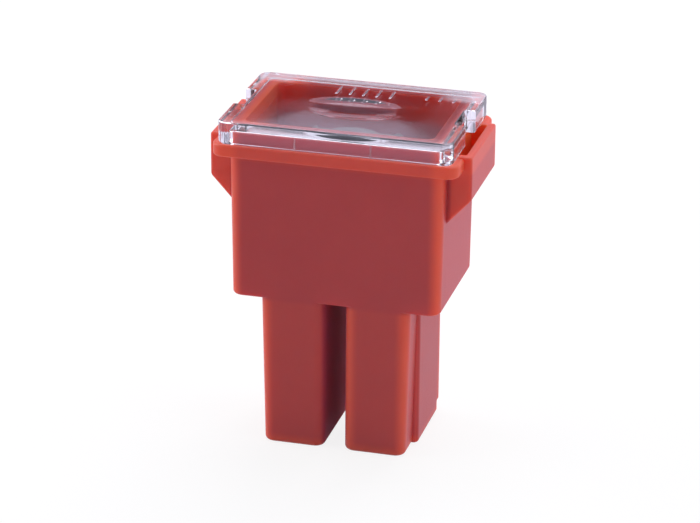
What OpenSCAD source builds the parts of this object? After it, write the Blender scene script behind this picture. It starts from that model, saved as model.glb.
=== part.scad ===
// Plug-in cartridge fuse. A hollow coloured housing stands on two socket legs. Each leg holds a
// box terminal with a contact spring, a fusible link joins the terminals in the chamber above,
// and a clear lid with an oval lens in its plate fits over the chamber's collar.
// X runs across the two legs, Y from front to back, Z up. The origin is under the middle.

/* [Body] */
// Width of the body at its top
body_w = 20.5; // [20:0.25:23]
// Depth of the body, front to back
body_d = 13.6; // [13.2:0.2:16]
// Height of the body, from its underside to the rim
body_h = 14.0; // [11:0.5:18]
// How far each side of the body leans in towards its underside
body_draft = 0.17; // [0.05:0.01:0.4]
// Radius of the body's upright corners
body_r = 1.1; // [0.5:0.1:1.6]
// Thickness of the body's side walls
side_wall = 1.25; // [0.9:0.05:1.5]
// Thickness of the body's front and back walls
front_wall = 1.1; // [0.8:0.05:1.3]
// Thickness of the chamber's floor
floor_t = 1.2; // [0.8:0.1:2]
// Radius of the chamber's upright corners
chamber_r = 0.7; // [0.3:0.1:1]

/* [Legs] */
// Height of the legs, from their tips to the body's underside
leg_h = 14.8; // [14:0.2:18]
// Width of the open gap between the two legs
leg_gap = 1.96; // [1.2:0.04:2.2]
// Distance from the middle to the front part's outer side, at the body
leg_outer = 7.23; // [7.1:0.01:7.8]
// How far the front part's outer side leans in towards the tip
leg_draft = 0.31; // [0.05:0.01:0.35]
// Length of the narrower front part
leg_front_l = 3.3; // [2.5:0.1:5]
// How far the rear part stands out past the front part
leg_step = 0.27; // [0.1:0.01:0.6]
// Distance from the body's back to the legs' back
leg_setback = 1.54; // [1:0.02:1.7]
// Radius of the legs' upright front corners
leg_r = 1.0; // [0.4:0.1:1.2]
// Radius of the rear part's upright corners
leg_step_r = 0.5; // [0.2:0.1:0.6]
// Height of the foot that is cut back behind
foot_h = 1.27; // [0.8:0.01:1.5]
// How far the foot is cut back
foot_cut = 1.15; // [0.6:0.05:1.2]
// Thickness of the plate at a leg's tip
tip_t = 1.7; // [1.6:0.1:2.5]
// Thickness of a leg's inner and outer walls
leg_wall = 0.92; // [0.8:0.02:1]
// Thickness of a leg's front and back walls
leg_end_wall = 1.0; // [0.8:0.05:1.2]

/* [Rim and ears] */
// Thickness of the rim
rim_t = 1.25; // [0.8:0.05:1.8]
// How far the rim stands out at each side
rim_side = 1.5; // [1.3:0.05:1.8]
// How far the rim stands out at the front and the back
rim_front = 0.75; // [0.4:0.05:1.2]
// Radius of the rim's corners
rim_r = 1.2; // [0.6:0.1:1.6]
// How far an ear stands out from the body's side
ear_out = 2.27; // [2.1:0.01:3.5]
// Length of an ear, front to back
ear_l = 9.86; // [8:0.02:11]
// Height of an ear's upright outer face
ear_face_h = 4.2; // [3:0.1:7]
// Height of the sloping underside of an ear
ear_slope_h = 2.6; // [1.5:0.1:4]
// Wall of an ear
ear_wall = 0.72; // [0.5:0.02:1]
// How far an ear's edge stands above the rim
ear_lip = 0.14; // [0:0.02:0.4]

/* [Lid] */
// Height from the rim to the underside of the lid's plate
skirt_h = 1.25; // [0.8:0.05:2]
// Thickness of the lid's plate
lid_t = 0.95; // [0.6:0.05:1.5]
// Thickness of the skirt at the lid's short sides
skirt_side = 1.05; // [0.7:0.05:1.2]
// Thickness of the skirt at the lid's long sides
skirt_front = 0.8; // [0.5:0.05:1]
// Distance from the rim's short sides to the lid's
lid_inset = 0.58; // [0.3:0.02:0.8]
// Distance from the rim's long sides to the lid's
lid_set = 0.05; // [0:0.05:0.3]
// Radius of the lid's corners
lid_r = 1.0; // [0.5:0.1:1.5]
// Length of the notch in each short side
notch_l = 4.2; // [3:0.1:6]

/* [Lens] */
// Length of the oval bulge on the plate's underside
bulge_l = 8.7; // [8:0.1:9.5]
// Width of the bulge, front to back
bulge_w = 5.0; // [4:0.1:5.4]
// Height of the bulge
bulge_h = 0.5; // [0.2:0.05:0.7]
// Distance from the lid's middle forward to the bulge's middle
bulge_front = 0.5; // [0:0.1:1]
// Length of the oval dish in the plate's top
dish_l = 8.4; // [7.6:0.1:9]
// Width of the dish, front to back
dish_w = 4.1; // [3.4:0.1:4.4]
// Depth of the dish
dish_h = 0.4; // [0.2:0.05:0.5]
// Distance from the lid's middle back to the dish's middle
dish_back = 0.9; // [0.5:0.1:1]

/* [Ticks] */
// Number of plain raised ticks behind the lens
ticks = 5; // [2:1:6]
// Number of plain raised ticks beside the lens
side_ticks = 3; // [1:1:4]
// Distance from the lid's middle back to the ticks' middles
tick_back = 4.2; // [4.2:0.1:5]
// Distance from the lid's middle to the middle of the side row
side_row_x = 7.3; // [6.5:0.1:7.5]
// Spacing of the ticks
tick_pitch = 1.3; // [0.8:0.1:1.4]
// Length of a tick
tick_l = 2.2; // [1:0.1:2.4]
// Length of a tick beside the lens
side_tick_l = 1.2; // [0.8:0.1:2]
// Width of a tick
tick_w = 0.3; // [0.2:0.05:0.5]
// Height of a tick
tick_h = 0.12; // [0.05:0.01:0.2]

/* [Blades and terminals] */
// Thickness of the blades that plug in
blade_t = 0.8; // [0.6:0.1:1]
// Width of the blades that plug in
blade_w = 8; // [6.3:0.1:8]
// Distance between the middles of the two blades
blade_pitch = 8.5; // [8.2:0.1:8.8]
// Clearance around a blade in its slot
blade_play = 0.2; // [0.1:0.05:0.3]
// Width of the lead-in around the slot's mouth
lead_in = 0.5; // [0.2:0.1:0.6]
// Thickness of the terminals' sheet
sheet_t = 0.5; // [0.3:0.05:0.6]
// Height of a terminal's box
box_h = 13.4; // [12:0.2:14]
// Height of a terminal's tongue above its box
tongue_h = 5; // [3:0.5:6]
// Width of the seam where a box's sheet meets
seam_w = 0.3; // [0.1:0.05:0.5]

/* [Springs] */
// Thickness of a contact spring
spring_t = 0.25; // [0.15:0.01:0.3]
// Width of a contact spring
spring_w = 7; // [5:0.1:7.5]
// Half height of the spring's upright root
spring_root_h = 0.6; // [0.4:0.05:0.9]
// Height of the spring's root above the terminal's foot
spring_root_z = 11; // [9:0.2:11.4]
// Height of the spring's contact bend above the terminal's foot
spring_bend_z = 4.6; // [3.6:0.2:6]
// Height of the spring's free tip above the terminal's foot
spring_tip_z = 2.2; // [1:0.2:2.6]
// How far the spring's tip turns back from its contact bend
spring_hook = 0.72; // [0.3:0.02:0.8]
// How far the spring reaches into the blade's place
spring_bite = 0.2; // [0.05:0.05:0.3]

/* [Link] */
// Thickness of the fusible link
link_t = 0.4; // [0.2:0.05:0.6]
// Width of the fusible link
link_w = 3; // [2:0.1:3.2]
// Width of the link's two necks
neck_w = 1.2; // [0.8:0.1:1.6]
// Length of each neck
neck_l = 1.2; // [0.6:0.1:1.5]
// Length of the oval pad between the necks
pad_l = 5.4; // [4:0.1:6]
// Width of the oval pad
pad_w = 3.2; // [2.4:0.1:3.4]
// Distance from the pad's top to the lens
link_drop = 2.2; // [0.4:0.1:3]
// Height over which the link leans in from its legs to its top
link_lean_h = 3; // [2:0.5:6]
// How far the link reaches down behind each tongue
link_lap = 4; // [2:0.5:4.5]
// Length of the tin pellet under the pad
pellet_l = 3; // [2:0.1:3.6]
// Width of the tin pellet
pellet_w = 1.6; // [1:0.1:2]
// Height of the tin pellet
pellet_h = 0.9; // [0.5:0.05:1.2]

/* [Clearances] */
// Gap between the lid and the collar
lid_gap = 0.05; // [0.02:0.01:0.1]
// Gap between a terminal and the leg's walls
box_gap = 0.05; // [0.02:0.01:0.1]
// Gap between a spring and its terminal
spring_gap = 0.08; // [0.06:0.01:0.12]
// Gap between an ear's pocket and the body's side
pocket_gap = 0.1; // [0.05:0.05:0.3]

/* [Hidden] */
$fn = 48;
over = 1;

// Heights
rim_z = leg_h + body_h;
rim_top = rim_z + rim_t;
plate_z = rim_top + skirt_h;
lid_top = plate_z + lid_t;
collar_top = plate_z - lid_gap;
chamber_z = leg_h + floor_t;
ear_top = rim_top + ear_lip;
ear_face_z = ear_top - ear_face_h;
ear_z = ear_face_z - ear_slope_h;
box_top = tip_t + box_h;
link_top = plate_z - bulge_h - link_drop;

// Rim, lid, collar and chamber, in plan
rim_w = body_w + 2 * rim_side;
rim_d = body_d + 2 * rim_front;
lid_w = rim_w - 2 * lid_inset;
lid_d = rim_d - 2 * lid_set;
skirt_w = lid_w - 2 * skirt_side;
skirt_d = lid_d - 2 * skirt_front;
collar_w = skirt_w - 2 * lid_gap;
collar_d = skirt_d - 2 * lid_gap;
chamber_w = body_w - 2 * side_wall;
chamber_d = body_d - 2 * front_wall;
ear_x = body_w / 2 + ear_out;

// Legs and the pockets inside them, in plan
leg_in = leg_gap / 2;
leg_front_y = -body_d / 2;
leg_back_y = body_d / 2 - leg_setback;
pocket_x0 = leg_in + leg_wall;
pocket_x1 = leg_outer - leg_wall;
pocket_y0 = leg_front_y + leg_end_wall;
pocket_y1 = leg_back_y - leg_end_wall;
pocket_y = (pocket_y0 + pocket_y1) / 2;

// Terminal, blade and spring
box_x0 = pocket_x0 + box_gap;
box_x1 = pocket_x1 - box_gap;
box_y0 = pocket_y0 + box_gap;
box_y1 = pocket_y1 - box_gap;
blade_x = blade_pitch / 2;
slot_w = blade_t + 2 * blade_play;
slot_l = blade_w + 2 * blade_play;
root_x = box_x0 + sheet_t + spring_gap + spring_t / 2;
root_z = tip_t + spring_root_z;
bend_x = blade_x - blade_t / 2 + spring_bite - spring_t / 2;

module both_sides() {
    children();
    mirror([1, 0, 0]) children();
}

// An upright block between two corners, with round upright corners
module block(x0, x1, y0, y1, r, z0, z1) {
    translate([0, 0, z0]) linear_extrude(z1 - z0) {
        translate([x0 + r, y0]) square([x1 - x0 - 2 * r, y1 - y0]);
        translate([x0, y0 + r]) square([x1 - x0, y1 - y0 - 2 * r]);
        for (x = [x0 + r, x1 - r], y = [y0 + r, y1 - r]) translate([x, y]) circle(r);
    }
}

// The same around the middle
module slab(w, l, r, z0, z1) {
    block(-w / 2, w / 2, -l / 2, l / 2, r, z0, z1);
}

// A box between two corners
module box(x0, x1, y0, y1, z0, z1) {
    translate([x0, y0, z0]) cube([x1 - x0, y1 - y0, z1 - z0]);
}

// An outline drawn in X and Z, run along Y from y0 to y1
module along_y(y0, y1) {
    translate([0, y1, 0]) rotate([90, 0, 0]) linear_extrude(y1 - y0) children();
}

// A sheet's edge as seen along Y: straight runs of one thickness with round bends
module sheet_path(points, t) {
    for (i = [0 : len(points) - 2]) {
        step = points[i + 1] - points[i];
        translate(points[i]) rotate(atan2(step[1], step[0]))
            translate([0, -t / 2]) square([norm(step), t]);
    }
    for (i = [1 : len(points) - 2]) translate(points[i]) circle(t / 2);
}

// The body runs halfway up into the rim
module body_shell() {
    half = body_w / 2;
    top = rim_z + rim_t / 2;
    intersection() {
        slab(body_w, body_d, body_r, leg_h, top);
        along_y(-body_d, body_d) polygon([
            [-half, top + over], [-half, rim_z], [body_draft - half, leg_h], [body_draft - half, 0],
            [half - body_draft, 0], [half - body_draft, leg_h], [half, rim_z], [half, top + over]]);
    }
}

// The right leg, without its pocket
module leg_shell() {
    top = leg_h + floor_t / 2;
    difference() {
        union() {
            intersection() {
                block(leg_in, leg_outer, leg_front_y, leg_back_y, leg_r, 0, top);
                along_y(leg_front_y - over, leg_back_y + over) polygon([
                    [leg_in, 0], [leg_outer - leg_draft, 0], [leg_outer, leg_h],
                    [leg_outer, top], [leg_in, top]]);
            }
            block(leg_in, leg_outer + leg_step, leg_front_y + leg_front_l, leg_back_y,
                leg_step_r, 0, top);
        }
        box(0, ear_x, leg_back_y - foot_cut, leg_back_y + over, -over, foot_h);
    }
}

// The right ear, without its pocket
module ear_shell() {
    root = (body_w - side_wall) / 2;
    along_y(-ear_l / 2, ear_l / 2) polygon([
        [root, ear_z], [body_w / 2 - body_draft, ear_z], [ear_x, ear_face_z],
        [ear_x, ear_top], [root, ear_top]]);
}

module ear_pocket() {
    inner = body_w / 2 + pocket_gap;
    outer = ear_x - ear_wall;
    along_y(ear_wall - ear_l / 2, ear_l / 2 - ear_wall) polygon([
        [inner, ear_z + 2 * ear_wall], [outer, ear_face_z + ear_wall / 2],
        [outer, plate_z + over], [inner, plate_z + over]]);
}

// Under the lid's skirt, an ear is no higher than the rim
module ear_trim() {
    box(0, lid_w / 2 + lid_gap, -ear_l, ear_l, rim_top, collar_top + over);
}

// The right leg's slot for a blade, with its lead-in at the tip
module blade_slot() {
    half = slot_w / 2;
    mouth = half + lead_in;
    along_y(pocket_y - slot_l / 2, pocket_y + slot_l / 2) translate([blade_x, 0]) polygon([
        [-mouth, -lead_in], [mouth, -lead_in], [mouth, 0], [half, lead_in],
        [half, tip_t + over], [-half, tip_t + over], [-half, lead_in], [-mouth, 0]]);
}

module housing() {
    color([0.74, 0.15, 0.13]) difference() {
        union() {
            body_shell();
            slab(rim_w, rim_d, rim_r, rim_z, rim_top);
            slab(collar_w, collar_d, chamber_r, rim_z + rim_t / 4, collar_top);
            both_sides() leg_shell();
            difference() {
                both_sides() ear_shell();
                both_sides() ear_trim();
            }
        }
        slab(chamber_w, chamber_d, chamber_r, chamber_z, collar_top + over);
        both_sides() {
            box(pocket_x0, pocket_x1, pocket_y0, pocket_y1, tip_t, chamber_z + over);
            blade_slot();
            ear_pocket();
        }
    }
}

// A row of plain ticks on the lid's plate, set around x
module tick_row(count, x, l) {
    for (i = [0 : count - 1])
        translate([x + (i - (count - 1) / 2) * tick_pitch, tick_back, lid_top])
            cube([tick_w, l, 2 * tick_h], center = true);
}

// A ring on its edge, whose lowest part crosses z = 0 in an oval of that length and width, h deep
module oval_ring(l, w, h) {
    long_r = (pow(l / 2, 2) + pow(h, 2)) / (2 * h);
    short_r = (pow(w / 2, 2) + pow(h, 2)) / (2 * h);
    translate([0, 0, long_r - h]) rotate([90, 0, 0])
        rotate_extrude() translate([long_r - short_r, 0]) circle(short_r);
}

module lens_bulge() {
    intersection() {
        translate([0, -bulge_front, plate_z]) oval_ring(bulge_l, bulge_w, bulge_h);
        slab(skirt_w, skirt_d, chamber_r, plate_z - bulge_h, plate_z + lid_t / 4);
    }
}

module lid() {
    color([0.9, 0.93, 0.96, 0.4]) {
        difference() {
            slab(lid_w, lid_d, lid_r, rim_top, lid_top);
            slab(skirt_w, skirt_d, chamber_r, rim_top - over, plate_z);
            both_sides() box(skirt_w / 2, lid_w, -notch_l / 2, notch_l / 2, 0, lid_top + over);
            translate([0, dish_back, lid_top]) oval_ring(dish_l, dish_w, dish_h);
        }
        lens_bulge();
        tick_row(ticks, 0, tick_l);
        tick_row(side_ticks, side_row_x, side_tick_l);
    }
}

// The right terminal: a folded box with a contact bar, and a tongue for the link
module terminal() {
    in_x0 = box_x0 + sheet_t;
    in_x1 = box_x1 - sheet_t;
    difference() {
        box(box_x0, box_x1, box_y0, box_y1, tip_t, box_top);
        box(in_x0, in_x1, box_y0 + sheet_t, box_y1 - sheet_t, tip_t - over, box_top + over);
        box(blade_x - seam_w / 2, blade_x + seam_w / 2, box_y0 - over, box_y0 + sheet_t + over,
            tip_t - over, box_top + over);
    }
    box(blade_x + blade_t / 2, in_x1, pocket_y - spring_w / 2, pocket_y + spring_w / 2,
        tip_t + spring_tip_z, root_z);
    box(in_x1, box_x1, -link_w / 2, link_w / 2, box_top - sheet_t, box_top + tongue_h);
}

module terminal_right() {
    color([0.78, 0.74, 0.68]) terminal();
}

module terminal_left() {
    color([0.78, 0.74, 0.68]) mirror([1, 0, 0]) terminal();
}

// The right contact spring: an upright root, a lean to the contact bend, and a free tip
module contact_spring() {
    along_y(pocket_y - spring_w / 2, pocket_y + spring_w / 2) sheet_path([
        [root_x, root_z + spring_root_h], [root_x, root_z - spring_root_h],
        [bend_x, tip_t + spring_bend_z], [bend_x - spring_hook, tip_t + spring_tip_z]], spring_t);
}

module contact_spring_right() {
    color([0.7, 0.71, 0.73]) contact_spring();
}

module contact_spring_left() {
    color([0.7, 0.71, 0.73]) mirror([1, 0, 0]) contact_spring();
}

module fuse_link() {
    leg_x = box_x1 - sheet_t - link_t / 2;
    mid_z = link_top - link_t / 2;
    top_x = pad_l / 2 + neck_l;
    foot_z = box_top + tongue_h - link_lap;
    arc_r = (pow(pad_l / 2, 2) + pow(pad_w / 2, 2)) / pad_w;
    color([0.6, 0.6, 0.6]) {
        difference() {
            along_y(-link_w / 2, link_w / 2) sheet_path([
                [-leg_x, foot_z], [-leg_x, mid_z - link_lean_h], [-top_x, mid_z],
                [top_x, mid_z], [leg_x, mid_z - link_lean_h], [leg_x, foot_z]], link_t);
            for (s = [-1, 1])
                box(-top_x, top_x, s * link_w / 2 - (link_w - neck_w) / 2,
                    s * link_w / 2 + (link_w - neck_w) / 2, mid_z - link_t, link_top + over);
        }
        translate([0, 0, link_top - link_t]) linear_extrude(link_t)
            intersection_for (s = [-1, 1]) translate([0, s * (arc_r - pad_w / 2)]) circle(arc_r);
    }
}

module tin_pellet() {
    pellet_top = link_top - link_t;
    color([0.85, 0.85, 0.83])
        slab(pellet_l, pellet_w, pellet_w / 2 - 0.01, pellet_top - pellet_h, pellet_top);
}

housing();
lid();
terminal_left();
terminal_right();
contact_spring_left();
contact_spring_right();
fuse_link();
tin_pellet();
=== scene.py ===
import math

import bmesh
import bpy
from mathutils import Matrix, Vector


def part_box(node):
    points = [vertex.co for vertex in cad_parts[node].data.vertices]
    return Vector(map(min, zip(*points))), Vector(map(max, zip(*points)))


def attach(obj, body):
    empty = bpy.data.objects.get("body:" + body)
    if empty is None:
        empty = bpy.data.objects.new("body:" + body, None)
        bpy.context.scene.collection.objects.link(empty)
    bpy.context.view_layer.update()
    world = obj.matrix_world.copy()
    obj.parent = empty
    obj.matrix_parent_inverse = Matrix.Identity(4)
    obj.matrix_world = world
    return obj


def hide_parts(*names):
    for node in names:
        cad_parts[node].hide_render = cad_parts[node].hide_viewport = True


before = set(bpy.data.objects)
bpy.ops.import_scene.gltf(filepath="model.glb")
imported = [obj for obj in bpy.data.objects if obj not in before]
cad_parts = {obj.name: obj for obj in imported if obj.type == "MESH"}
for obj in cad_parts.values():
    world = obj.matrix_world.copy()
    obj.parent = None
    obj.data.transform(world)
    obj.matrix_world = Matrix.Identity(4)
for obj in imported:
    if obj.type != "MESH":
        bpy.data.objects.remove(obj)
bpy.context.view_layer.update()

MM = 0.001


# ---------------------------------------------------------------- camera

VIEW_AZIMUTH, VIEW_ELEVATION, VIEW_ROLL = 15.014, 22.364, 0.466
VIEW_DISTANCE = 0.299942
VIEW_TARGET = Vector((-0.000058, -0.0008, 0.016964))
LENS, SENSOR = 162.6, 36
NEAREST, FARTHEST = 0.01, 10


def toward(azimuth, elevation):
    """The direction from the object to a place at that azimuth and elevation."""
    a, e = math.radians(azimuth), math.radians(elevation)
    return Vector((math.sin(a) * math.cos(e), -math.cos(a) * math.cos(e), math.sin(e)))


def aimed(place, target, roll=0.0):
    """The matrix of a camera or lamp at place that looks at target."""
    turn = (target - place).to_track_quat("-Z", "Y").to_matrix().to_4x4()
    return Matrix.Translation(place) @ turn @ Matrix.Rotation(math.radians(roll), 4, "Z")


def make_camera():
    data = bpy.data.cameras.new("camera")
    data.lens = LENS
    data.sensor_width = SENSOR
    data.clip_start, data.clip_end = NEAREST, FARTHEST
    camera = bpy.data.objects.new("camera", data)
    bpy.context.scene.collection.objects.link(camera)
    place = VIEW_TARGET + toward(VIEW_AZIMUTH, VIEW_ELEVATION) * VIEW_DISTANCE
    camera.matrix_world = aimed(place, VIEW_TARGET, VIEW_ROLL)
    bpy.context.scene.camera = camera


make_camera()


# ---------------------------------------------------------------- sizes, in millimetres
#
# _x and _y are measured from the middle, _z and _top from the leg tips. _h, _l, _w and _t are a form's
# own height, length, width and thickness. _r is the radius of its upright corners and _round that of
# its level edges.

HOUSING_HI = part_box("housing")[1] / MM
LID_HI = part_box("lid")[1] / MM
TERMINAL_LO, TERMINAL_HI = (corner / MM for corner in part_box("terminal_right"))
SPRING_LO, SPRING_HI = (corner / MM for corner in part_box("contact_spring_right"))
LINK_LO, LINK_HI = (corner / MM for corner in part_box("fuse_link"))
PELLET_LO, PELLET_HI = (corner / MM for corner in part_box("tin_pellet"))

# Housing: body, rim, collar and chamber
ear_out, rim_side, rim_front = 2.27, 1.5, 0.75
leg_h, body_h, rim_t, floor_t = 14.8, 14.0, 1.25, 1.2
body_x, body_y = HOUSING_HI.x - ear_out, HOUSING_HI.y - rim_front
body_draft, body_r, body_round = 0.17, 1.1, 0.3
rim_x, rim_y, rim_z = body_x + rim_side, HOUSING_HI.y, leg_h + body_h
rim_top, rim_r, rim_round, rim_cove = rim_z + rim_t, 1.2, 0.25, 0.2
collar_side, collar_front, collar_root = 0.18, 0.15, 0.4
collar_x, collar_y, collar_top = body_x - collar_side, body_y - collar_front, HOUSING_HI.z
collar_r, collar_round = 0.7, 0.2
side_wall, front_wall, mouth_flare = 1.25, 1.1, 0.12
chamber_x, chamber_y, chamber_z = body_x - side_wall, body_y - front_wall, leg_h + floor_t
chamber_r, chamber_round = 0.7, 0.3

# Housing: legs and the sockets inside them
leg_in, leg_out, leg_draft, leg_top = 0.98, 7.23, 0.31, leg_h + floor_t / 2
leg_setback, leg_front_l, leg_step = 1.54, 3.3, 0.27
leg_back = body_y - leg_setback
leg_r, leg_step_r, foot_round = 1.0, 0.5, 0.4
foot_h, foot_cut, foot_cut_round = 1.27, 1.15, 0.2
leg_wall, leg_end_wall, tip_t = 0.92, 1.0, 1.7
socket_r, socket_flare = 0.15, 0.25
blade_x, blade_t, slot_x, slot_y, slot_r, lead_in = 4.25, 0.8, 0.6, 4.2, 0.1, 0.5

# Housing: ears
ear_lip, ear_face_h, ear_slope_h = 0.14, 4.2, 2.6
ear_x, ear_y, ear_top = HOUSING_HI.x, 4.93, rim_top + ear_lip
ear_face_z = ear_top - ear_face_h
ear_z = ear_face_z - ear_slope_h
ear_root, ear_sunk = 0.6, 0.1
ear_wall, ear_round, ear_pocket_r, pocket_gap = 0.72, 0.22, 0.2, 0.1
pocket_x = body_x + pocket_gap

# Lid. dish_lip is a share of the dish's size
skirt_h, lid_t, skirt_side, skirt_front = 1.25, 0.95, 1.05, 0.8
lid_x, lid_y, lid_r, lid_round, lid_foot_round = LID_HI.x, LID_HI.y, 1.0, 0.16, 0.2
lid_gap, lid_rise = 0.05, 0.02
plate_z = rim_top + skirt_h
lid_top = plate_z + lid_t
skirt_x, skirt_y, skirt_r = lid_x - skirt_side, lid_y - skirt_front, 0.7
skirt_round, skirt_flare = 0.15, 0.2
notch_y, notch_r, notch_flare = 2.1, 0.25, 0.1
bulge_x, bulge_y, bulge_h, bulge_front, bulge_sunk = 4.35, 2.5, 0.2, 0.5, 0.2
dish_x, dish_y, dish_h, dish_back, dish_lip = 4.2, 2.05, 0.13, 0.35, 0.1
seam_x, seam_w, seam_short = (-3.73, 3.47), 0.14, 0.15

# Ticks on the lid. A row is the number of ticks, its middle in x and a tick's length
tick_rows = ((5, 0.0, 2.2), (3, 7.3, 1.2))
tick_pitch, tick_w, tick_back = 1.3, 0.3, 4.2
tick_rise = 0.6 * (LID_HI.z - lid_top)

# Terminals and contact springs
sheet_t, box_r, hollow_r, sheet_round = 0.5, 0.65, 0.2, 0.1
tongue_h, tongue_root, tongue_r, tongue_round, seam_gap = 5.0, 1.0, 0.1, 0.12, 0.3
bar_top, bar_r, bar_round = 12.7, 0.15, 0.3
spring_t, spring_root_l, spring_bend, spring_bend_h = 0.25, 1.2, 0.8, 2.44
spring_hook, spring_tip_h = 0.72, 0.04

# Link and pellet
link_t, link_w, link_lean, link_corner_x, link_bend = 0.4, 3.0, 3.0, 3.9, 0.6
pad_l, pad_w, neck_w = 5.4, 3.2, 1.2
shoulder_x, shoulder_l = 3.6, 0.4
pellet_round, pellet_top_round = 0.5, 0.1


# ---------------------------------------------------------------- mesh tools
#
# CORNER_STEPS and EDGE_STEPS are for a quarter turn. OVER and CLEAR_OF are how far a cut runs past what
# it cuts, and TINY is next to nothing, all in millimetres. SHARP_ANGLE is in degrees, and STRIP_ROUND
# is a share of the sheet's thickness.

CORNER_STEPS = 8
EDGE_STEPS = 8
OVAL_STEPS = 64
BULGE_STEPS = 16
DISH_STEPS = 40
SPRING_STEP, LINK_STEP, STRIP_ROUND = 0.4, 0.2, 0.3
ROUND_PROFILE = 0.5
SHARP_ANGLE = 12.5
OVER = 0.3
CLEAR_OF = 1
TINY = 0.004


def level(x0, x1, y0, y1, r, z):
    """A level rectangle with round corners, counter-clockwise from above."""
    corners = ((x1 - r, y1 - r, 0), (x0 + r, y1 - r, 90), (x0 + r, y0 + r, 180), (x1 - r, y0 + r, 270))
    points = []
    for cx, cy, start in corners:
        for k in range(CORNER_STEPS + 1):
            a = math.radians(start + 90 * k / CORNER_STEPS)
            points.append((cx + r * math.cos(a), cy + r * math.sin(a), z))
    return points


def solid(bm):
    """The object of a mesh, with its faces outwards where it is closed."""
    bmesh.ops.recalc_face_normals(bm, faces=bm.faces)
    mesh = bpy.data.meshes.new("solid")
    bm.to_mesh(mesh)
    bm.free()
    made = bpy.data.objects.new("solid", mesh)
    bpy.context.scene.collection.objects.link(made)
    return made


def loft(levels):
    """A closed solid through levels that all have as many points."""
    bm = bmesh.new()
    rows = [[bm.verts.new(point) for point in points] for points in levels]
    for low, high in zip(rows, rows[1:]):
        for i, start in enumerate(low):
            bm.faces.new((low[i - 1], start, high[i], high[i - 1]))
    bm.faces.new(rows[0])
    bm.faces.new(rows[-1])
    return solid(bm)


def edge_levels(size):
    """Inset and distance from the end for a rounded edge, or for a flared mouth where size is negative."""
    if size == 0:
        return [(0, 0)]
    turns = [math.radians(90 * k / EDGE_STEPS) for k in range(EDGE_STEPS + 1)]
    steps = [(size * (1 - math.sin(a)), abs(size) * (1 - math.cos(a))) for a in turns]
    if size > 0:
        return steps
    return [(size, -OVER)] + [(inset, depth - TINY) for inset, depth in steps]


def block(x, y, z, r, foot=0.0, head=0.0, taper=(0.0, 0.0)):
    """An upright block between two ends in x, y and z, with upright corners of radius r.
    foot and head round its lower and upper edges, or flare them where they are negative.
    taper is how far its two sides in x lean inwards at the foot."""

    def at(z_now, inset):
        lean = (z[1] - z_now) / (z[1] - z[0])
        x0, x1 = x[0] + inset + taper[0] * lean, x[1] - inset - taper[1] * lean
        return level(x0, x1, y[0] + inset, y[1] - inset, max(r - inset, TINY), z_now)

    levels = [at(z[0] + depth, inset) for inset, depth in edge_levels(foot)]
    levels += [at(z[1] - depth, inset) for inset, depth in reversed(edge_levels(head))]
    return loft(levels)


def slab(x, y, z, r, foot=0.0, head=0.0, taper=(0.0, 0.0)):
    """A block around the middle, of that half width and half depth."""
    return block((-x, x), (-y, y), z, r, foot, head, taper)


def prism(outline, half_depth, rounding=0.0):
    """An outline in x and z, run along y around the middle, with all its edges rounded."""
    bm = bmesh.new()
    front = bm.faces.new([bm.verts.new((x, -half_depth, z)) for x, z in outline])
    moved = bmesh.ops.extrude_face_region(bm, geom=[front])["geom"]
    corners = [part for part in moved if isinstance(part, bmesh.types.BMVert)]
    bmesh.ops.translate(bm, verts=corners, vec=(0, 2 * half_depth, 0))
    if rounding:
        bmesh.ops.bevel(bm, geom=bm.edges[:], offset=rounding, segments=EDGE_STEPS,
                        profile=ROUND_PROFILE, affect="EDGES")
    return solid(bm)


def mirrored(part):
    """A copy of a solid on the other side of the middle."""
    bm = bmesh.new()
    bm.from_mesh(part.data)
    bmesh.ops.scale(bm, verts=bm.verts, vec=(-1, 1, 1))
    return solid(bm)


def both(*parts):
    """The right-hand solids and their mirror images."""
    return [copy for part in parts for copy in (part, mirrored(part))]


def evaluated_mesh(obj):
    """What the object's modifiers make of it, as a plain mesh."""
    depsgraph = bpy.context.evaluated_depsgraph_get()
    depsgraph.update()
    return bpy.data.meshes.new_from_object(obj.evaluated_get(depsgraph))


def combine(base, operation, parts):
    """The base with the other solids joined to it or cut from it. The others are used up."""
    for part in parts:
        cut = base.modifiers.new("cut", "BOOLEAN")
        cut.object = part
        cut.operation = operation
        cut.solver = "EXACT"
    mesh = evaluated_mesh(base)
    for part in parts:
        bpy.data.objects.remove(part)
    base.modifiers.clear()
    base.data = mesh
    return base


def finish_piece(piece, name, body, material, node):
    """Smooths a piece, turns it to metres and puts it in the place of its CAD node."""
    piece.name = piece.data.name = name
    piece.data.shade_smooth()
    piece.data.set_sharp_from_angle(angle=math.radians(SHARP_ANGLE))
    even = piece.modifiers.new("even", "WEIGHTED_NORMAL")
    even.keep_sharp = True
    piece.data = evaluated_mesh(piece)
    piece.modifiers.clear()
    piece.data.name = name
    piece.data.transform(Matrix.Scale(MM, 4))
    piece.data.materials.clear()
    piece.data.materials.append(material)
    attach(piece, body)
    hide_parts(node)
    return piece


# ---------------------------------------------------------------- shader tools

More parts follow.
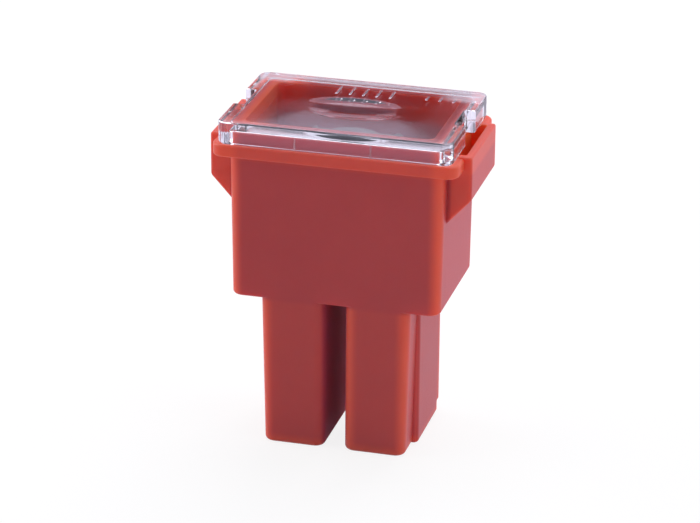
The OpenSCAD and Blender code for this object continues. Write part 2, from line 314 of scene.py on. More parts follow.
class Value:
    """A socket's value, with ordinary arithmetic and soft masks."""

    def __init__(self, shader, socket):
        self.shader = shader
        self.socket = socket

    def math(self, operation, *values):
        return self.shader.node("ShaderNodeMath", {"operation": operation}, list(values))

    def __add__(self, other):
        return self.math("ADD", self, other)

    def __radd__(self, other):
        return self.math("ADD", other, self)

    def __sub__(self, other):
        return self.math("SUBTRACT", self, other)

    def __rsub__(self, other):
        return self.math("SUBTRACT", other, self)

    def __mul__(self, other):
        return self.math("MULTIPLY", self, other)

    def __rmul__(self, other):
        return self.math("MULTIPLY", other, self)

    def __abs__(self):
        return self.math("ABSOLUTE", self)

    def larger(self, other):
        return self.math("MAXIMUM", self, other)

    def under(self, limit):
        """1 under the limit, 0 over it."""
        return self.math("LESS_THAN", self, limit)

    def above(self, low, high, ends=(0, 1)):
        """0 below low, 1 above high and a smooth rise between them."""
        return self.shader.node("ShaderNodeMapRange", {"interpolation_type": "SMOOTHSTEP"},
                                {"Value": self, "From Min": low, "From Max": high,
                                 "To Min": ends[0], "To Max": ends[1]})

    def below(self, low, high):
        """1 below low, 0 above high and a smooth fall between them."""
        return self.above(low, high, (1, 0))


class Shader:
    """The nodes of a material or of the world, which one method makes."""

    def __init__(self, owner, main="Principled BSDF"):
        owner.use_nodes = True
        self.owner = owner
        self.tree = owner.node_tree
        self.surface = self.tree.nodes[main]

    def node(self, kind, settings=None, inputs=None, output=0):
        """Makes a node with those settings and inputs, and gives one of its outputs."""
        made = self.tree.nodes.new(kind)
        for key, setting in (settings or {}).items():
            setattr(made, key, setting)
        self.fill(made, inputs or {})
        return Value(self, made.outputs[output])

    def fill(self, made, inputs):
        """Sets or links a node's sockets, given by name or by number, or all in order."""
        pairs = inputs.items() if isinstance(inputs, dict) else enumerate(inputs)
        for key, value in pairs:
            if isinstance(value, Value):
                self.tree.links.new(value.socket, made.inputs[key])
            else:
                made.inputs[key].default_value = value

    def set(self, **inputs):
        """Sets or links the main shader's sockets; an underscore stands for a space."""
        self.fill(self.surface, {key.replace("_", " "): value for key, value in inputs.items()})

    def blend(self, factor, other):
        """Makes the surface a blend of the main shader and another."""
        mixed = self.node("ShaderNodeMixShader", None, [factor, Value(self, self.surface.outputs[0]), other])
        self.tree.links.new(mixed.socket, self.tree.nodes["Material Output"].inputs["Surface"])

    def place(self):
        """The point on the object in millimetres."""
        point = self.node("ShaderNodeTexCoord", output="Object")
        return self.node("ShaderNodeVectorMath", {"operation": "SCALE"}, {0: point, "Scale": 1 / MM})

    def split(self, point):
        """The point's x, y and z."""
        return [self.node("ShaderNodeSeparateXYZ", None, [point], output=k) for k in range(3)]

    def stretched(self, point, x=1.0, y=1.0, z=1.0):
        """The point with its axes scaled, which stretches what is drawn where a scale is small."""
        return self.node("ShaderNodeVectorMath", {"operation": "MULTIPLY"}, [point, (x, y, z)])

    def noise(self, point, scale, detail):
        return self.node("ShaderNodeTexNoise", None, {"Vector": point, "Scale": scale, "Detail": detail})

    def mix(self, factor, first, second):
        """A blend of two colours."""
        return self.node("ShaderNodeMix", {"data_type": "RGBA"}, {0: factor, 6: first, 7: second}, output=2)

    def bump(self, height, depth):
        """A bump of that depth in millimetres."""
        return self.node("ShaderNodeBump", None, {"Height": height, "Strength": 1.0, "Distance": depth * MM})


def new_shader(name):
    return Shader(bpy.data.materials.new(name))


def colour(red, green, blue):
    return (red, green, blue, 1.0)


def either(*masks):
    """1 where any of the masks is 1."""
    rest = 1 - masks[0]
    for mask in masks[1:]:
        rest = rest * (1 - mask)
    return 1 - rest


# ---------------------------------------------------------------- plastics
#
# A pair of lengths says where a soft change starts and where it ends, in millimetres.
# The other numbers are shares of 1.

# The plain red pair, and a lit pair, lighter and more orange, for painted light where light would get through
DEEP_RED = (colour(0.54, 0.057, 0.056), colour(0.60, 0.067, 0.063))
LIT_RED = (colour(0.84, 0.110, 0.052), colour(0.90, 0.125, 0.060))
# Painted shade and shadow, and painted shade between the legs tinted blue as a painted sheen
SHADED_RED, GAP_SHADE_RED = colour(0.24, 0.010, 0.014), colour(0.38, 0.040, 0.095)
# Painted shade on the legs' outer steps, and painted light in the ears' pockets
STEP_SHADE_RED, POCKET_GLOW_ORANGE = colour(0.30, 0.020, 0.015), colour(1.0, 0.22, 0.08)

EDGE_REACH = (0.3, 1.5)
EAR_ROOT, EAR_FACE = (body_x + 0.1, body_x + 0.5), (ear_x - 0.2, ear_x - 0.05)
RIM_FOOT, RIM_HEAD = (rim_z - 0.6, rim_z + 0.1), (rim_top, rim_top + 0.2)
LEG_HEAD, FOOT_HEAD, RIGHT_LEG = (leg_h - 0.4, leg_h + 0.2), (0, 1.2), (-0.5, 0.5)
GAP_SIDE, STEP_SIDE = (leg_in, leg_in + 0.4), (leg_out + 0.05, leg_out + 0.15)
CHAMBER_SIDE, CHAMBER_END = (chamber_x, chamber_x + 0.1), (chamber_y, chamber_y + 0.1)
CHAMBER_FLOOR, CHAMBER_MOUTH = (leg_h, chamber_z), (rim_z - 2, rim_z + 1)
CHAMBER_DEPTH, RIGHT_WALL = (plate_z - 5, plate_z - 1.5), (5, 8)
LEFT_PART, RIGHT_PART = (-8, -5), (4, 8)
LEDGE_FOOT, LEDGE_SIDE = (rim_top - 0.15, rim_top - 0.02), (lid_x - 1.8, lid_x - 1.3)
LEDGE_FRONT = (0.1 - collar_y, 0.6 - collar_y)
POCKET_ROOT, POCKET_FLOOR = (body_x + 0.05, body_x + 0.1), (0.3, 0.6)
POCKET_SIDE = (ear_x - ear_wall, ear_x - ear_wall + 0.05)
POCKET_END = (ear_y - ear_wall, ear_y - ear_wall + 0.05)

# Shares of painted glow, light painted into the colour at the ears, rim, legs and chamber
EAR_EDGE_GLOW, EAR_FACE_GLOW, RIM_GLOW, LEG_EDGE_GLOW, LEG_GLOW = 0.65, 0.2, 0.6, 0.9, 0.15
CHAMBER_GLOW, CHAMBER_RIGHT_GLOW, CHAMBER_LEFT_GLOW, LEDGE_GLOW = 0.35, 0.45, 0.3, 0.8
# Shares of painted shade: deep in the chamber, the lid's shadow on the ledge, between the legs and on the
# legs' outer steps
CHAMBER_SHADE, LEDGE_SHADOW, GAP_SHADE, STEP_SHADE = 0.3, 0.7, 0.7, 0.3
RED_ROUGH, GRAIN_ROUGH, CLOUD_ROUGH, GAP_ROUGH, LEDGE_ROUGH = 0.34, 0.10, 0.05, 0.3, 0.5
FLOW_BUMP = 0.8


def painted_glow(x, y, z, legs, chamber, ledge, left):
    """How much painted glow the red plastic gets, light painted into its colour where light would get
    through: at its corners, ears, rim and legs, in the chamber's mouth and on the ledge at its left.
    """
    across, along = abs(x), abs(y)

    def near(distance):
        """1 at an edge of the plastic, falling to 0 inside it."""
        return distance.below(*EDGE_REACH)

    corners = near(body_x - across) * near(body_y - along)
    ears = across.above(*EAR_ROOT) * across.above(*EAR_FACE, (EAR_EDGE_GLOW, EAR_FACE_GLOW))
    rim = RIM_GLOW * z.above(*RIM_FOOT) * z.below(*RIM_HEAD)
    leg_ends = either(near(body_y - along), near(leg_back - y))
    leg_sides = either(near(across - leg_in) * x.above(*RIGHT_LEG), near(leg_out - across))
    feet = legs * z.below(*FOOT_HEAD)
    mouth = CHAMBER_GLOW + CHAMBER_RIGHT_GLOW * x.above(*RIGHT_PART) + CHAMBER_LEFT_GLOW * left
    return either(corners, ears, rim, LEG_EDGE_GLOW * legs * leg_ends * leg_sides, LEG_GLOW * legs, feet,
                  chamber * z.above(*CHAMBER_MOUTH) * mouth, LEDGE_GLOW * ledge * left)


def ear_hollow(x, y, z):
    """1 inside the ears' pockets."""
    across = abs(x)
    ear_foot = (across - body_x) * ((ear_face_z - ear_z) / (ear_x - body_x)) + ear_z
    walls = across.above(*POCKET_ROOT) * across.below(*POCKET_SIDE) * abs(y).below(*POCKET_END)
    return walls * (z - ear_foot).above(*POCKET_FLOOR)


def red_plastic():
    """Moulded red nylon, satin and a little cloudy. Its colour has painted light where light would get
    through, and painted shade deep in the chamber, under the lid, between the legs and on the legs' outer
    steps.
    """
    shader = new_shader("red_plastic")
    point = shader.place()
    x, y, z = shader.split(point)
    across, along = abs(x), abs(y)
    cloud = shader.noise(point, scale=0.22, detail=3)
    grain = shader.noise(point, scale=9.0, detail=3)
    flow = shader.noise(shader.stretched(point, z=0.12), scale=1.6, detail=2)

    legs = z.below(*LEG_HEAD)
    gap = legs * across.below(*GAP_SIDE)
    step = legs * across.above(*STEP_SIDE)
    chamber = across.below(*CHAMBER_SIDE) * along.below(*CHAMBER_END) * z.above(*CHAMBER_FLOOR)
    ledge = z.above(*LEDGE_FOOT) * across.below(*LEDGE_SIDE) * y.above(*LEDGE_FRONT)
    left = x.below(*LEFT_PART)
    glow = painted_glow(x, y, z, legs, chamber, ledge, left)
    # Painted shade deep in the chamber, and a painted shadow of the lid on the rim and collar under it
    dark = either(CHAMBER_SHADE * chamber * z.below(*CHAMBER_DEPTH) * x.below(*RIGHT_WALL),
                  LEDGE_SHADOW * ledge * (1 - chamber) * (1 - left))

    # Painted light: towards the lit red where the glow says light would get through
    base = shader.mix(glow, shader.mix(cloud, *DEEP_RED), shader.mix(cloud, *LIT_RED))
    # Painted shade and shadow, towards the shaded red
    base = shader.mix(dark, base, SHADED_RED)
    # Painted shade between the legs, tinted blue as a painted sheen
    base = shader.mix(GAP_SHADE * gap, base, GAP_SHADE_RED)
    # Painted light in the ears' pockets
    base = shader.mix(ear_hollow(x, y, z), base, POCKET_GLOW_ORANGE)
    # Painted shade on the outer sides of the legs' wider backs
    base = shader.mix(STEP_SHADE * step, base, STEP_SHADE_RED)
    rough = RED_ROUGH + GRAIN_ROUGH * grain + CLOUD_ROUGH * cloud + GAP_ROUGH * gap + LEDGE_ROUGH * ledge
    shader.set(Base_Color=base, Roughness=rough, IOR=1.46, Subsurface_Weight=0.8,
               Subsurface_Radius=(1.0, 0.35, 0.15), Subsurface_Scale=2.0 * MM,
               Normal=shader.bump(grain + FLOW_BUMP * flow, depth=0.010))
    return shader.owner


WALL_SIDE, WALL_END = (skirt_x - 0.3, skirt_x + 0.3), (skirt_y - 0.3, skirt_y + 0.3)
DULL_RIGHT = (6, 8)
FRONT_EDGE, PLATE_FOOT = (0.6 - lid_y, 0.9 - lid_y), (plate_z - 0.1, plate_z + 0.1)
TOP_FACE = (lid_top - 0.05, lid_top - 0.02)
BACK_START, BACK_STOP = (lid_y - 1.6, lid_y - 0.9), (lid_y - 0.5, lid_y - 0.35)
LEFT_START, LEFT_STOP = (0.3 - lid_x, 0.55 - lid_x), (0.7 - lid_x, 1.0 - lid_x)
LEFT_FRONT = (notch_y, notch_y + 1)
RIGHT_CORNER_X, RIGHT_CORNER_Y = (6.5, 8.8), (3.6, 4.8)
LEFT_CORNER_X, LEFT_CORNER_Y = (-8.2, -6.8), (4.6, 5.8)
# Shares of the lid's painted glare, whitish painted highlights and sheen
FRONT_GLARE, LEFT_GLARE, CORNER_GLARE, EVEN_GLARE, STREAKY_GLARE = 0.25, 0.6, 0.45, 0.35, 0.5
CLEAR_ROUGH, HAZE_ROUGH, WALL_ROUGH, RIGHT_ROUGH = 0.013, 0.034, 0.05, 0.02


def lid_glare(x, y, z, streaks):
    """How much painted glare the lid gets, whitish painted highlights and sheen: most along its back, and
    less at its front, left side and rear corners.
    """
    top = z.above(*TOP_FACE)
    front = y.below(*FRONT_EDGE) * z.above(*PLATE_FOOT)
    back = y.above(*BACK_START) * y.below(*BACK_STOP) * top
    side = x.above(*LEFT_START) * x.below(*LEFT_STOP) * y.above(*LEFT_FRONT) * top
    right_corner = x.above(*RIGHT_CORNER_X) * y.above(*RIGHT_CORNER_Y)
    left_corner = x.below(*LEFT_CORNER_X) * y.above(*LEFT_CORNER_Y)
    corner = either(right_corner, left_corner) * top
    uneven = EVEN_GLARE + STREAKY_GLARE * streaks
    return (front * FRONT_GLARE * streaks + (back + LEFT_GLARE * side) * uneven
            + CORNER_GLARE * corner * (1 - back))


def clear_plastic():
    """Clear moulded plastic: glossy, a little wavy and softer at its outer walls, with painted whitish
    highlights and sheen at some edges.
    """
    shader = new_shader("clear_plastic")
    point = shader.place()
    x, y, z = shader.split(point)
    wave = shader.noise(point, scale=0.16, detail=1)
    haze = shader.noise(point, scale=2.5, detail=4)
    streaks = shader.noise(shader.stretched(point, 0.25, 3, 3), scale=1.5, detail=3)
    wall = either(abs(x).above(*WALL_SIDE), abs(y).above(*WALL_END))
    rough = CLEAR_ROUGH + HAZE_ROUGH * haze + WALL_ROUGH * wall + RIGHT_ROUGH * x.above(*DULL_RIGHT)
    shader.set(Base_Color=colour(0.97, 0.98, 1.0), Roughness=rough, IOR=1.52, Transmission_Weight=1.0,
               Specular_Tint=colour(0.80, 0.84, 1.0), Normal=shader.bump(wave, depth=0.005))
    # A whitish gloss blended in by place: painted highlights and sheen
    glare_blend = shader.node("ShaderNodeBsdfPrincipled", None,
                       {"Base Color": colour(0.80, 0.80, 0.90), "Roughness": 0.25, "IOR": 1.52})
    shader.blend(lid_glare(x, y, z, streaks), glare_blend)
    return shader.owner


# ---------------------------------------------------------------- metals

MARKS_ROUGH, STAIN_ROUGH = 0.12, 0.10


def metal(name, light, dark, roughness, brushed=1.0, depth=0.004):
    """Sheet metal with fine marks along its height."""
    shader = new_shader(name)
    point = shader.place()
    marks = shader.noise(shader.stretched(point, brushed, brushed), scale=3.0, detail=4)
    stain = shader.noise(point, scale=0.7, detail=3)
    shader.set(Base_Color=shader.mix(stain, colour(*dark), colour(*light)), Metallic=1.0,
               Roughness=roughness + MARKS_ROUGH * marks + STAIN_ROUGH * stain,
               Normal=shader.bump(marks, depth))
    return shader.owner


RED = red_plastic()
CLEAR = clear_plastic()
COPPER = metal("tinned_copper", (0.74, 0.70, 0.64), (0.60, 0.53, 0.45), roughness=0.28, brushed=6)
STEEL = metal("spring_steel", (0.62, 0.63, 0.66), (0.48, 0.49, 0.52), roughness=0.22, brushed=8)
ALLOY = metal("link_alloy", (0.20, 0.185, 0.185), (0.12, 0.11, 0.11), roughness=0.38, brushed=3)
TIN = metal("tin", (0.76, 0.76, 0.74), (0.58, 0.58, 0.58), roughness=0.30, depth=0.02)


# ---------------------------------------------------------------- housing

def leg():
    """The right leg: a narrow front, a wider back and a foot that is cut back behind."""
    front = block((leg_in, leg_out), (-body_y, leg_back), (0, leg_top), leg_r, foot_round, 0, (0, leg_draft))
    back = block((leg_in, leg_out + leg_step), (-body_y + leg_front_l, leg_back), (0, leg_top),
                 leg_step_r, foot_round)
    cut = block((-OVER, ear_x), (leg_back - foot_cut, leg_back + OVER), (-OVER, foot_h), TINY,
                0, foot_cut_round)
    return combine(combine(front, "UNION", [back]), "DIFFERENCE", [cut])


def ear():
    """The right ear, a thumb grip with a sloped foot, trimmed clear of the lid."""
    root = body_x - ear_root
    outline = [(root, ear_z), (body_x - ear_sunk, ear_z), (ear_x, ear_face_z), (ear_x, ear_top),
               (root, ear_top)]
    trim = slab(lid_x + lid_gap, ear_y + CLEAR_OF, (rim_top, ear_top + CLEAR_OF), TINY)
    return combine(prism(outline, ear_y, ear_round), "DIFFERENCE", [trim])


def ear_pocket():
    """The hollow between the right ear's wall and the body."""
    outer, side = ear_x - ear_wall, ear_y - ear_wall
    low, high = ear_z + 2 * ear_wall, ear_face_z + ear_wall / 2
    pocket = block((pocket_x, outer), (-side, side), (low, ear_top), ear_pocket_r, 0, -mouth_flare)
    past, under = outer + CLEAR_OF, low - CLEAR_OF
    slope = prism([(pocket_x, low), (outer, high), (past, high), (past, under), (pocket_x, under)], ear_y)
    return combine(pocket, "DIFFERENCE", [slope])


def leg_hollows():
    """The right leg's socket and the slot in its tip."""
    y = (-body_y + leg_end_wall, leg_back - leg_end_wall)
    middle = sum(y) / 2
    socket = block((leg_in + leg_wall, leg_out - leg_wall), y, (tip_t, chamber_z), socket_r, 0, -socket_flare)
    slot = block((blade_x - slot_x, blade_x + slot_x), (middle - slot_y, middle + slot_y),
                 (0, tip_t + OVER), slot_r, -lead_in)
    return socket, slot


def make_housing():
    shell = slab(body_x, body_y, (leg_h, rim_z), body_r, body_round, -rim_cove, (body_draft, body_draft))
    rim = slab(rim_x, rim_y, (rim_z, rim_top), rim_r, rim_round, rim_round)
    collar = slab(collar_x, collar_y, (rim_z + collar_root, collar_top), collar_r, 0, collar_round)
    combine(shell, "UNION", [rim, collar] + both(leg(), ear()))
    chamber = slab(chamber_x, chamber_y, (chamber_z, collar_top), chamber_r, chamber_round, -mouth_flare)
    combine(shell, "DIFFERENCE", [chamber] + both(*leg_hollows(), ear_pocket()))
    finish_piece(shell, "moulded_housing", "housing", RED, "housing")


make_housing()


# ---------------------------------------------------------------- lid

def oval(x, y, middle, z):
    """A level oval of that half length and half width."""
    turns = [2 * math.pi * k / OVAL_STEPS for k in range(OVAL_STEPS)]
    return [(x * math.cos(a), middle + y * math.sin(a), z) for a in turns]


def bulge():
    """The lens's oval bulge below the plate."""
    parts = [k / BULGE_STEPS for k in range(1, BULGE_STEPS + 1)]
    levels = [oval(bulge_x * k, bulge_y * k, -bulge_front, plate_z - bulge_h * (1 - k * k)) for k in parts]
    levels.append(oval(bulge_x, bulge_y, -bulge_front, plate_z + bulge_sunk))
    return loft(levels)


def dish():
    """The lens's oval dish in the plate's top, with a rounded lip."""
    reach = 1 + dish_lip
    levels = []
    for k in [reach * step / DISH_STEPS for step in range(1, DISH_STEPS + 1)]:
        if k < 1 / reach:
            depth = dish_h * (1 - k * k)
        else:
            depth = dish_h * (reach - k) ** 2 / (reach * reach - 1)
        levels.append(oval(dish_x * k, dish_y * k, dish_back, lid_top - depth))
    levels.append(oval(dish_x * reach, dish_y * reach, dish_back, lid_top + OVER))
    return loft(levels)


TICK_INPUTS = (("Count", "NodeSocketInt"), ("Pitch", "NodeSocketFloat"), ("Bar Width", "NodeSocketFloat"),
               ("Bar Length", "NodeSocketFloat"), ("Middle", "NodeSocketVector"),
               ("Material", "NodeSocketMaterial"))
BALL_SEGMENTS, BALL_RINGS = 24, 12


def tick_tree():
    """Node tree for a row of round-ended bars along y, a pitch apart in x."""
    tree = bpy.data.node_groups.new("tick_row", "GeometryNodeTree")
    for label, kind in TICK_INPUTS:
        tree.interface.new_socket(label, in_out="INPUT", socket_type=kind)
    tree.interface.new_socket("Geometry", in_out="OUTPUT", socket_type="NodeSocketGeometry")
    given = tree.nodes.new("NodeGroupInput").outputs

    def node(kind, inputs, **settings):
        made = tree.nodes.new(kind)
        for key, setting in settings.items():
            setattr(made, key, setting)
        for key, value in inputs.items():
            if isinstance(value, bpy.types.NodeSocket):
                tree.links.new(value, made.inputs[key])
            else:
                made.inputs[key].default_value = value
        return made.outputs[0]

    def maths(operation, first, second):
        return node("ShaderNodeMath", {0: first, 1: second}, operation=operation)

    def vector(axis, value):
        return node("ShaderNodeCombineXYZ", {axis: value})

    def line(count, step, start):
        return node("GeometryNodeMeshLine", {"Count": count, "Offset": step, "Start Location": start})

    def copies(points, instance):
        """Real copies of the instance at the points."""
        placed = node("GeometryNodeInstanceOnPoints", {"Points": points, "Instance": instance})
        return node("GeometryNodeRealizeInstances", {"Geometry": placed})

    radius = maths("MULTIPLY", given["Bar Width"], 0.5)
    reach = maths("SUBTRACT", maths("MULTIPLY", given["Bar Length"], 0.5), radius)
    ball = node("GeometryNodeMeshUVSphere",
                {"Segments": BALL_SEGMENTS, "Rings": BALL_RINGS, "Radius": radius})
    ends = line(2, vector("Y", maths("MULTIPLY", reach, 2.0)), vector("Y", maths("MULTIPLY", reach, -1.0)))
    bar = node("GeometryNodeConvexHull", {"Geometry": copies(ends, ball)})
    length = maths("MULTIPLY", maths("SUBTRACT", given["Count"], 1.0), given["Pitch"])
    half_row = vector("X", maths("MULTIPLY", length, 0.5))
    start = node("ShaderNodeVectorMath", {0: given["Middle"], 1: half_row}, operation="SUBTRACT")
    row = copies(line(given["Count"], vector("X", given["Pitch"]), start), bar)
    finished = node("GeometryNodeSetMaterial", {"Geometry": row, "Material": given["Material"]})
    tree.links.new(finished, tree.nodes.new("NodeGroupOutput").inputs[0])
    return tree


def ticks():
    """The rows of plain ticks on the plate."""
    tree = tick_tree()
    made = []
    for count, middle, length in tick_rows:
        row = bpy.data.objects.new("ticks", bpy.data.meshes.new("ticks"))
        bpy.context.scene.collection.objects.link(row)
        modifier = row.modifiers.new("tick_row", "NODES")
        modifier.node_group = tree
        values = {"Count": count, "Pitch": tick_pitch, "Bar Width": tick_w, "Bar Length": length,
                  "Middle": (middle, tick_back, lid_top + tick_rise - tick_w / 2), "Material": CLEAR}
        for item in tree.interface.items_tree:
            if item.in_out == "INPUT":
                modifier[item.identifier] = values[item.name]
        mesh = evaluated_mesh(row)
        row.modifiers.clear()
        row.data = mesh
        made.append(row)
    return made


def seams():
    """Fine upright mould lines in the inner faces of the lid's front and back walls."""
    half = seam_w / 2
    return [block((x - half, x + half), (y - seam_w, y + seam_w), (rim_top - OVER, plate_z - seam_short),
                  half - TINY)
            for x in seam_x for y in (-skirt_y, skirt_y)]


def make_lid():
    foot = rim_top + lid_rise
    plate = slab(lid_x, lid_y, (foot, lid_top), lid_r, lid_foot_round, lid_round)
    cavity = slab(skirt_x, skirt_y, (foot, plate_z), skirt_r, -skirt_flare, skirt_round)
    notch = block((skirt_x, lid_x + CLEAR_OF), (-notch_y, notch_y), (rim_top - CLEAR_OF, lid_top), notch_r,
                  0, -notch_flare)
    combine(plate, "DIFFERENCE", [cavity, dish()] + both(notch) + seams())
    combine(plate, "UNION", [bulge()] + ticks())
    lid = finish_piece(plate, "clear_lid", "lid", CLEAR, "lid")
    lid.visible_shadow = lid.visible_diffuse = False


make_lid()


# ---------------------------------------------------------------- metal pieces

def bent(points, radius, step):
    """The points of a path in x and z with its corners rounded, no further apart than step."""
    path = [Vector(points[0])]
    for before, corner, after in zip(points, points[1:], points[2:]):
        corner = Vector(corner)
        back, on = (Vector(before) - corner).normalized(), (Vector(after) - corner).normalized()
        half = back.angle(on) / 2
        reach = radius / math.tan(half)
        middle = corner + (back + on).normalized() * radius / math.sin(half)
        first, last = corner + back * reach - middle, corner + on * reach - middle
        path += [middle + first.slerp(last, k / EDGE_STEPS) for k in range(EDGE_STEPS + 1)]
    path.append(Vector(points[-1]))
    fine = [path[0]]
    for start, end in zip(path, path[1:]):
        count = max(1, math.ceil((end - start).length / step))
        fine += [start.lerp(end, k / count) for k in range(1, count + 1)]
    return fine


def strip(path, width, t, middle):
    """Sheet metal t thick along a path in x and z. width gives its width in y at a point of the path."""
    levels = []
    for before, point, after in zip([path[0]] + path, path, path[1:] + [path[-1]]):
        run = (after - before).normalized()
        half = width(point) / 2
        section = level(-half, half, -t / 2, t / 2, STRIP_ROUND * t, 0)
        levels.append([(point.x - b * run.y, middle + a, point.y + b * run.x) for a, b, _ in section])
    return loft(levels)


def terminal():
    """The right terminal: a folded box with a contact bar, and a tongue for the link."""
    x0, y0, z0 = TERMINAL_LO
    x1, y1, top = TERMINAL_HI
    box_top = top - tongue_h
    box = block((x0, x1), (y0, y1), (z0, box_top), box_r, sheet_round, sheet_round)
    hollow = block((x0 + sheet_t, x1 - sheet_t), (y0 + sheet_t, y1 - sheet_t), (z0, box_top), hollow_r,
                   -sheet_round, -sheet_round)
    seam = block((blade_x - seam_gap / 2, blade_x + seam_gap / 2), (y0 - OVER, y0 + sheet_t + OVER),
                 (z0 - OVER, box_top + OVER), TINY)
    combine(box, "DIFFERENCE", [hollow, seam])
    bar = block((blade_x + blade_t / 2, x1 - sheet_t / 2), (SPRING_LO.y, SPRING_HI.y), (SPRING_LO.z, bar_top),
                bar_r, bar_round, bar_round)
    tongue = block((x1 - sheet_t, x1), (-link_w / 2, link_w / 2), (box_top - tongue_root, top), tongue_r,
                   0, tongue_round)
    return combine(box, "UNION", [bar, tongue])


def contact_spring():
    """The right contact spring: an upright root, a lean to the contact bend, and a free tip."""
    root_x, bend_x = SPRING_LO.x + spring_t / 2, SPRING_HI.x - spring_t / 2
    path = bent([(root_x, SPRING_HI.z), (root_x, SPRING_HI.z - spring_root_l),
                 (bend_x, SPRING_LO.z + spring_bend_h), (bend_x - spring_hook, SPRING_LO.z + spring_tip_h)],
                spring_bend, SPRING_STEP)
    return strip(path, lambda point: SPRING_HI.y - SPRING_LO.y, spring_t, (SPRING_LO.y + SPRING_HI.y) / 2)


def link_width(point):
    """The link is narrow at its two necks and has an oval pad between them."""
    x = abs(point.x)
    if x < pad_l / 2:
        arc = (pad_l ** 2 + pad_w ** 2) / (4 * pad_w)
        return max(neck_w, 2 * (math.sqrt(arc ** 2 - x ** 2) - arc) + pad_w)
    shoulder = min(max((x - shoulder_x) / shoulder_l, 0), 1)
    return neck_w + (link_w - neck_w) * shoulder ** 2 * (3 - 2 * shoulder)


def fuse_link():
    """The link: down both tongues, up over two slopes, and level between them."""
    leg_x, mid_z = LINK_HI.x - link_t / 2, LINK_HI.z - link_t / 2
    right = [(link_corner_x, mid_z), (leg_x, mid_z - link_lean), (leg_x, LINK_LO.z)]
    path = bent([(-x, z) for x, z in reversed(right)] + right, link_bend, LINK_STEP)
    return strip(path, link_width, link_t, 0)


def pellet():
    """A drop of tin on the underside of the link's pad."""
    x, y, z = zip(PELLET_LO, PELLET_HI)
    return block(x, y, z, PELLET_HI.y - TINY, pellet_round, pellet_top_round)


SIDES = ("right", "left")
for part, side in zip(both(terminal()), SIDES):
    finish_piece(part, f"folded_terminal_{side}", "housing", COPPER, f"terminal_{side}")
for part, side in zip(both(contact_spring()), SIDES):
    node = f"contact_spring_{side}"
    finish_piece(part, f"leaf_spring_{side}", node, STEEL, node)
finish_piece(fuse_link(), "bent_link", "housing", ALLOY, "fuse_link")
finish_piece(pellet(), "tin_drop", "housing", TIN, "tin_pellet")


# ---------------------------------------------------------------- floor, world, flag and lamps

WHITE = colour(1, 1, 1)
GLOSS_TINT = colour(0.84, 0.80, 1.0)
AMBIENT = 0.22
FLOOR_HALF, FLOOR_GLOW, FLOOR_SHARE = 3, 1.06, 0.8

# The corners of the flag are given by the points of the lid's top, in millimetres, where the camera
# sees them mirrored. The first two are its foot. All other distances here are in metres.
FLAG_OUTLINE = ((-11, 6.3), (12, 6.3), (13, -10), (9.2, -6.4), (6.9, -4.2), (4.8, -2.6), (2.5, -1.8),
                (-3.3, -1.8), (-4.4, -2.3), (-6.5, -5.0), (-8, -6.6), (-10, -9))
FLAG_DISTANCE, FLAG_FOOT = 0.35, 0.045

# A lamp is its name, azimuth, elevation, size, power and whether gloss mirrors it
LAMPS = (("right_panel", 95, 25, 0.6, 1.15, True),
         ("left_panel", -88, 20, 0.6, 1.9, True),
         ("top_panel", 180, 65, 0.35, 1.0, True),
         ("back_panel", 172, 12, 0.35, 1.6, False))
LAMP_DISTANCE, LAMP_TINT = 0.5, (0.94, 0.97, 1.0)


def shown(shader):
    """1 where the camera, gloss or clear plastic looks straight at a surface, 0 where it only gives light."""
    camera, gloss, clear, bounces = (
        shader.node("ShaderNodeLightPath", output=name)
        for name in ("Is Camera Ray", "Is Glossy Ray", "Is Transmission Ray", "Diffuse Depth"))
    return camera.larger(gloss.larger(clear)) * bounces.under(1)


def seen_colour(shader):
    """White to the camera, and tinted otherwise."""
    return shader.mix(shader.node("ShaderNodeLightPath", output="Is Camera Ray"), GLOSS_TINT, WHITE)


def dull(name, grey):
    """The shader of a surface without gloss."""
    shader = new_shader(name)
    shader.set(Base_Color=grey, Roughness=0.9, Specular_IOR_Level=0.0)
    return shader


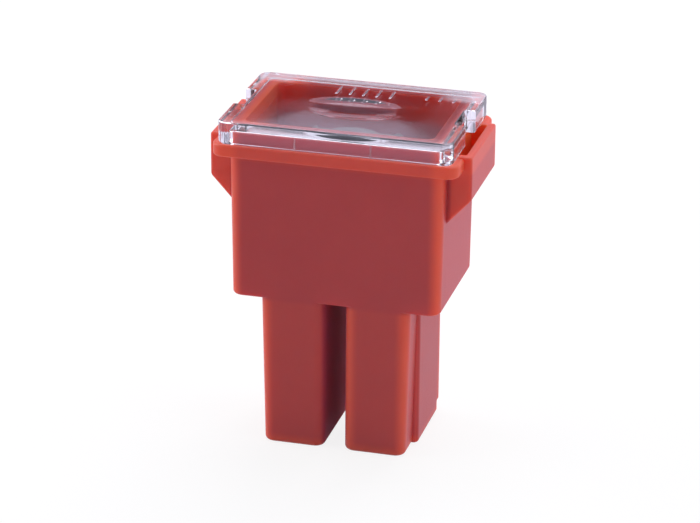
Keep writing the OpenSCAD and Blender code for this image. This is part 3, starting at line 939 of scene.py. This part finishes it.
def make_floor():
    """A pale floor that looks white, with the object's faint shadow."""
    bm = bmesh.new()
    bmesh.ops.create_grid(bm, x_segments=1, y_segments=1, size=FLOOR_HALF)
    floor = solid(bm)
    floor.name = "floor"
    shader = dull("floor_white", colour(0.9, 0.9, 0.9))
    glow = shader.node("ShaderNodeEmission", None, {"Color": seen_colour(shader), "Strength": FLOOR_GLOW})
    shader.blend(FLOOR_SHARE * shown(shader), glow)
    floor.data.materials.append(shader.owner)


def make_world():
    """White to look at, and an even dim light otherwise."""
    world = bpy.data.worlds.new("room")
    bpy.context.scene.world = world
    shader = Shader(world, "Background")
    shader.set(Strength=AMBIENT + (1 - AMBIENT) * shown(shader), Color=seen_colour(shader))


def make_flag():
    """A dark card behind the object that only gloss and clear plastic see. It keeps glare off the lid."""
    camera = bpy.context.scene.camera.matrix_world.translation
    away = -toward(VIEW_AZIMUTH, 0)
    bm = bmesh.new()
    corners = []
    for x, y in FLAG_OUTLINE:
        point = Vector((x, y, lid_top)) * MM
        ray = point - camera
        ray.z = -ray.z
        reach = (FLAG_DISTANCE - point.dot(away)) / ray.dot(away)
        corners.append(bm.verts.new(point + ray * reach))
    for corner in corners[:2]:
        corner.co.z = FLAG_FOOT
    bm.faces.new(corners)
    flag = solid(bm)
    flag.name = "flag"
    flag.data.materials.append(dull("flag_black", colour(0.01, 0.01, 0.012)).owner)
    flag.visible_camera = flag.visible_diffuse = flag.visible_shadow = False


def make_lamp(name, azimuth, elevation, size, power, mirrored_too):
    data = bpy.data.lights.new(name, "AREA")
    data.shape = "SQUARE"
    data.size = size
    data.energy = power
    data.color = LAMP_TINT
    lamp = bpy.data.objects.new(name, data)
    bpy.context.scene.collection.objects.link(lamp)
    lamp.matrix_world = aimed(VIEW_TARGET + toward(azimuth, elevation) * LAMP_DISTANCE, VIEW_TARGET)
    lamp.visible_glossy = lamp.visible_transmission = mirrored_too


make_floor()
make_world()
make_flag()
for lamp in LAMPS:
    make_lamp(*lamp)

bpy.context.scene.view_settings.view_transform = "Standard"
